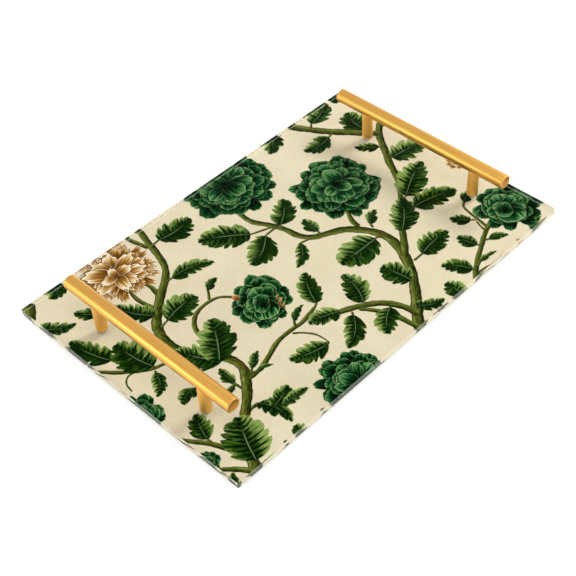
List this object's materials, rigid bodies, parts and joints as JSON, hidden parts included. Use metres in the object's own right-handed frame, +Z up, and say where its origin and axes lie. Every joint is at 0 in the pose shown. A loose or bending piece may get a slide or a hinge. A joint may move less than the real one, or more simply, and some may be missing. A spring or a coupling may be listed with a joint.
{
  "type": "serving tray",
  "caption": "Flat rectangular clear acrylic serving tray, back-printed with a green floral chintz on cream, with a satin gold round bar handle on posts near each short side.",
  "frame": {"origin": "on the table surface, under the middle of the tray", "axes": "+X along the long side, +Y along the short side towards the rear posts, +Z up"},
  "size_m": [0.385, 0.254, 0.0483],
  "materials": {
    "clear_acrylic": "clear, polished faces and edges",
    "printed_sheet": "printed green floral pattern on cream",
    "backing": "matt white film",
    "satin_gold": "satin brushed gold",
    "zinc_steel": "bright zinc plate",
    "clear_rubber": "clear soft bumper"
  },
  "bodies": {
    "root": {"acrylic_panel": "clear_acrylic", "print_layer": "printed_sheet", "backing_film": "backing", "handle_bar_left": "satin_gold", "handle_bar_right": "satin_gold", "handle_post_left_rear": "satin_gold", "bar_stud_left_rear": "zinc_steel", "panel_screw_left_rear": "zinc_steel", "screw_washer_left_rear": "zinc_steel", "foot_left_rear": "clear_rubber", "handle_post_left_front": "satin_gold", "bar_stud_left_front": "zinc_steel", "panel_screw_left_front": "zinc_steel", "screw_washer_left_front": "zinc_steel", "foot_left_front": "clear_rubber", "handle_post_right_rear": "satin_gold", "bar_stud_right_rear": "zinc_steel", "panel_screw_right_rear": "zinc_steel", "screw_washer_right_rear": "zinc_steel", "foot_right_rear": "clear_rubber", "handle_post_right_front": "satin_gold", "bar_stud_right_front": "zinc_steel", "panel_screw_right_front": "zinc_steel", "screw_washer_right_front": "zinc_steel", "foot_right_front": "clear_rubber"}
  },
  "joints": []
}
